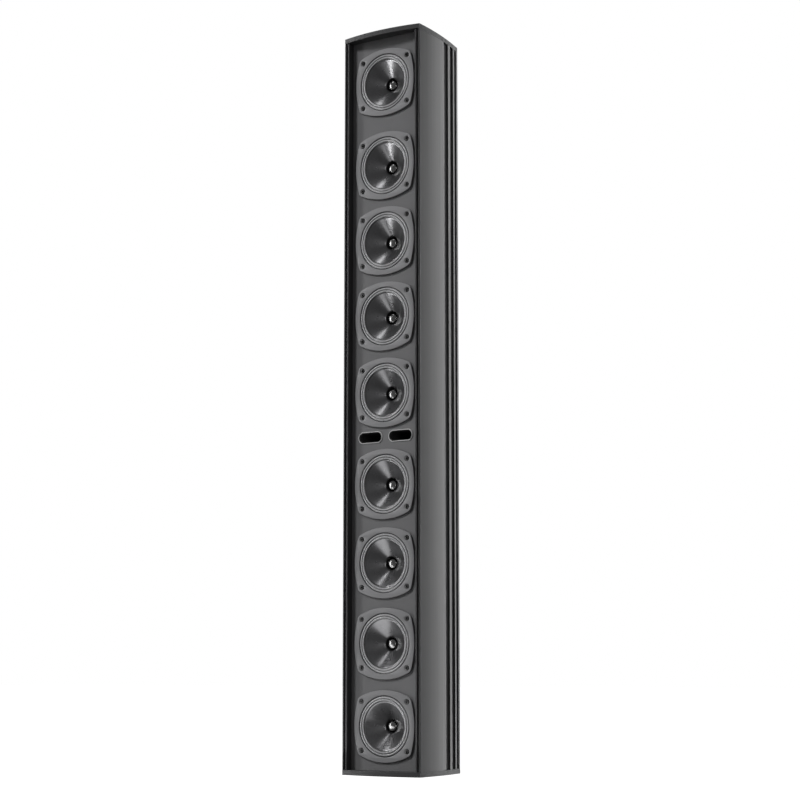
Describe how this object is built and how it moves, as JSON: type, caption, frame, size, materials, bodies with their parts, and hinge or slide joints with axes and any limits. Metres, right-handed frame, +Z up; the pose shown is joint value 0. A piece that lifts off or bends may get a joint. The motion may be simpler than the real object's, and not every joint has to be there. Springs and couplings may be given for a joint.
{
  "type": "line array column speaker",
  "caption": "Tall slim loudspeaker column with a vertical row of round cone drivers, two slot ports and grooved bowed sides.",
  "frame": {"origin": "middle of the footprint, on the surface that the column stands on", "axes": "+Z up the column, -Y out of the drivers, +X to the right seen from the front"},
  "size_m": [0.138, 0.142, 1.11],
  "materials": {
    "cabinet_profile": "satin black anodised",
    "rear_panel": "satin black anodised",
    "baffle": "matt charcoal powder coat",
    "caps": "satin charcoal powder coat",
    "driver_frame": "fine textured grey paint",
    "surround_rubber": "semi-gloss",
    "cone": "gloss with fine turned lines",
    "coil_copper": "copper wire on a former",
    "phase_plug": "polished dark",
    "steel_plate": "zinc plated",
    "magnet": "ground ferrite",
    "spider_cloth": "resin treated cloth",
    "black_screws": "black oxide",
    "port_plastic": "semi-gloss moulded",
    "insert_steel": "zinc plated",
    "input_plate": "fine textured black",
    "connector_plastic": "moulded",
    "circuit_board": "solder mask",
    "filter_parts": "copper windings",
    "foam": "open cell foam",
    "wire": "insulated wire"
  },
  "bodies": {
    "cabinet": {"left_side_panel": "cabinet_profile", "right_side_panel": "cabinet_profile", "rear_panel": "rear_panel", "baffle": "baffle", "top_cap": "caps", "bottom_cap": "caps", "basket_1": "driver_frame", "basket_2": "driver_frame", "basket_3": "driver_frame", "basket_4": "driver_frame", "basket_5": "driver_frame", "basket_6": "driver_frame", "basket_7": "driver_frame", "basket_8": "driver_frame", "basket_9": "driver_frame", "surround_1": "surround_rubber", "surround_2": "surround_rubber", "surround_3": "surround_rubber", "surround_4": "surround_rubber", "surround_5": "surround_rubber", "surround_6": "surround_rubber", "surround_7": "surround_rubber", "surround_8": "surround_rubber", "surround_9": "surround_rubber", "phase_plugs": "phase_plug", "pole_yokes": "steel_plate", "top_plates": "steel_plate", "magnets": "magnet", "spiders": "spider_cloth", "driver_screws": "black_screws", "cap_screws": "black_screws", "rear_screws": "black_screws", "port_left": "port_plastic", "port_right": "port_plastic", "bracket_inserts": "insert_steel", "input_plate": "input_plate", "speaker_connectors": "connector_plastic", "filter_board": "circuit_board", "filter_components": "filter_parts", "damping_foam": "foam", "wiring_harness": "wire"},
    "moving_cone_1": {"cone_1": "cone", "voice_coil_1": "coil_copper"},
    "moving_cone_2": {"cone_2": "cone", "voice_coil_2": "coil_copper"},
    "moving_cone_3": {"cone_3": "cone", "voice_coil_3": "coil_copper"},
    "moving_cone_4": {"cone_4": "cone", "voice_coil_4": "coil_copper"},
    "moving_cone_5": {"cone_5": "cone", "voice_coil_5": "coil_copper"},
    "moving_cone_6": {"cone_6": "cone", "voice_coil_6": "coil_copper"},
    "moving_cone_7": {"cone_7": "cone", "voice_coil_7": "coil_copper"},
    "moving_cone_8": {"cone_8": "cone", "voice_coil_8": "coil_copper"},
    "moving_cone_9": {"cone_9": "cone", "voice_coil_9": "coil_copper"}
  },
  "joints": [
    {"name": "cone_1_travel", "type": "slide", "parent": "cabinet", "child": "moving_cone_1", "axis": [0, -1, 0], "range_m": [-0.003, 0.003], "stiffness_N_per_m": 1200, "deforming": ["surround_1", "spiders"]},
    {"name": "cone_2_travel", "type": "slide", "parent": "cabinet", "child": "moving_cone_2", "axis": [0, -1, 0], "range_m": [-0.003, 0.003], "stiffness_N_per_m": 1200, "deforming": ["surround_2"]},
    {"name": "cone_3_travel", "type": "slide", "parent": "cabinet", "child": "moving_cone_3", "axis": [0, -1, 0], "range_m": [-0.003, 0.003], "stiffness_N_per_m": 1200, "deforming": ["surround_3"]},
    {"name": "cone_4_travel", "type": "slide", "parent": "cabinet", "child": "moving_cone_4", "axis": [0, -1, 0], "range_m": [-0.003, 0.003], "stiffness_N_per_m": 1200, "deforming": ["surround_4"]},
    {"name": "cone_5_travel", "type": "slide", "parent": "cabinet", "child": "moving_cone_5", "axis": [0, -1, 0], "range_m": [-0.003, 0.003], "stiffness_N_per_m": 1200, "deforming": ["surround_5"]},
    {"name": "cone_6_travel", "type": "slide", "parent": "cabinet", "child": "moving_cone_6", "axis": [0, -1, 0], "range_m": [-0.003, 0.003], "stiffness_N_per_m": 1200, "deforming": ["surround_6"]},
    {"name": "cone_7_travel", "type": "slide", "parent": "cabinet", "child": "moving_cone_7", "axis": [0, -1, 0], "range_m": [-0.003, 0.003], "stiffness_N_per_m": 1200, "deforming": ["surround_7"]},
    {"name": "cone_8_travel", "type": "slide", "parent": "cabinet", "child": "moving_cone_8", "axis": [0, -1, 0], "range_m": [-0.003, 0.003], "stiffness_N_per_m": 1200, "deforming": ["surround_8"]},
    {"name": "cone_9_travel", "type": "slide", "parent": "cabinet", "child": "moving_cone_9", "axis": [0, -1, 0], "range_m": [-0.003, 0.003], "stiffness_N_per_m": 1200, "deforming": ["surround_9"]}
  ]
}
